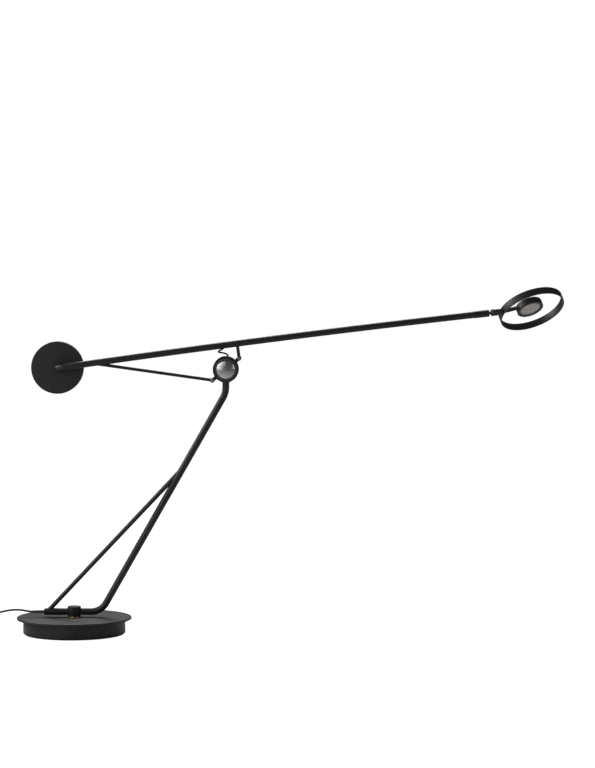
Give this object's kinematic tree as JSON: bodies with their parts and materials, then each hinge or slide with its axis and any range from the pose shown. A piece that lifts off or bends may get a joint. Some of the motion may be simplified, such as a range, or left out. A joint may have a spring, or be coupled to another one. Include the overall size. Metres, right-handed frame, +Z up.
{
  "type": "balance desk lamp",
  "caption": "Counterweight balance desk lamp: round swivel base, slanted braced stem, long pivoting arm with a disc counterweight, and a ring head holding a small round light.",
  "frame": {"origin": "centre of the base's underside, where the lamp stands on the desk", "axes": "+Z up, +X from the base's centre towards the lamp's head, +Y to the side that the counterweight hangs on, away from the silver cap"},
  "size_m": [1.1474, 0.2, 0.605],
  "materials": {
    "rubber": "matte",
    "powder_black": "satin",
    "steel": "satin",
    "iron": "rough",
    "brass": "satin",
    "black_aluminium": "satin",
    "aluminium": "turned",
    "nylon": "matte",
    "black_plastic": "matte",
    "cord_black": "matte",
    "board_green": "satin",
    "diffuser_white": "matte",
    "led_yellow": "gloss"
  },
  "bodies": {
    "base": {"foot_pad": "rubber", "base_drum": "powder_black", "bottom_cover": "steel", "cover_screws": "steel", "base_top_plate": "powder_black", "ballast": "iron", "ballast_screws": "steel", "swivel_bush": "brass", "thrust_washer": "steel"},
    "stem": {"swivel_collar": "powder_black", "spring_washer": "steel", "swivel_nut": "steel", "collar_set_screw": "steel", "stem_tube": "powder_black", "strut_rod": "powder_black", "cord_gland": "black_plastic", "stem_lead": "cord_black", "pivot_housing": "powder_black", "friction_washers": "nylon", "retaining_rings": "steel", "rear_cover": "black_plastic", "dimmer_board": "board_green", "cap_spring": "steel", "mains_cord": "cord_black", "cord_coil": "cord_black", "cord_tail": "cord_black", "cord_tie": "black_plastic", "adapter_relief": "black_plastic", "plug_adapter": "black_plastic", "plug_pins": "brass"},
    "cap": {"dimmer_cap": "aluminium"},
    "arm": {"front_yoke": "powder_black", "rear_yoke": "powder_black", "lug_screws": "steel", "post_rod": "powder_black", "brace_rod": "powder_black", "arm_tube": "powder_black", "counterweight_insert": "steel", "counterweight_disc": "black_aluminium", "counterweight_washer": "steel", "counterweight_screw": "steel", "wire_loop": "cord_black", "arm_lead": "cord_black", "tip_sleeve": "powder_black"},
    "head_stud": {"ball_stud": "steel", "stud_nut": "steel", "stud_washer": "steel"},
    "head_liner": {"socket_liner": "nylon"},
    "head": {"socket_cap": "powder_black", "socket_neck": "powder_black", "ring_band": "powder_black", "inner_arm": "powder_black", "puck_screw": "steel", "puck_housing": "black_aluminium", "heat_plate": "aluminium", "led_board": "board_green", "led_chips": "led_yellow", "reflector": "nylon", "diffuser": "diffuser_white", "light_bezel": "black_aluminium"}
  },
  "joints": [
    {"name": "base_swivel", "type": "hinge", "parent": "base", "child": "stem", "pos_m": [0, 0, 0.0304], "axis": [0, 0, 1], "continuous": true},
    {"name": "arm_tilt", "type": "hinge", "parent": "stem", "child": "arm", "pos_m": [0.265, 0, 0.462], "axis": [0, 1, 0], "range_deg": [-30, 60], "deforming": ["wire_loop"]},
    {"name": "cap_press", "type": "slide", "parent": "stem", "child": "cap", "axis": [0, 1, 0], "range_m": [0, 0.001], "stiffness_N_per_m": 600, "springref_m": -0.001, "deforming": ["cap_spring"]},
    {"name": "head_swivel", "type": "hinge", "parent": "arm", "child": "head_stud", "pos_m": [0.72956, 0, 0.56038], "axis": [0.9938, 0, 0.1113], "range_deg": [-170, 170]},
    {"name": "head_tilt", "type": "hinge", "parent": "head_stud", "child": "head_liner", "pos_m": [0.72956, 0, 0.56038], "axis": [-0.111, 0.0689, 0.9914], "range_deg": [-51, 5]},
    {"name": "head_roll", "type": "hinge", "parent": "head_liner", "child": "head", "pos_m": [0.72956, 0, 0.56038], "axis": [0.9152, 0.396, 0.075], "range_deg": [-170, 170]}
  ]
}
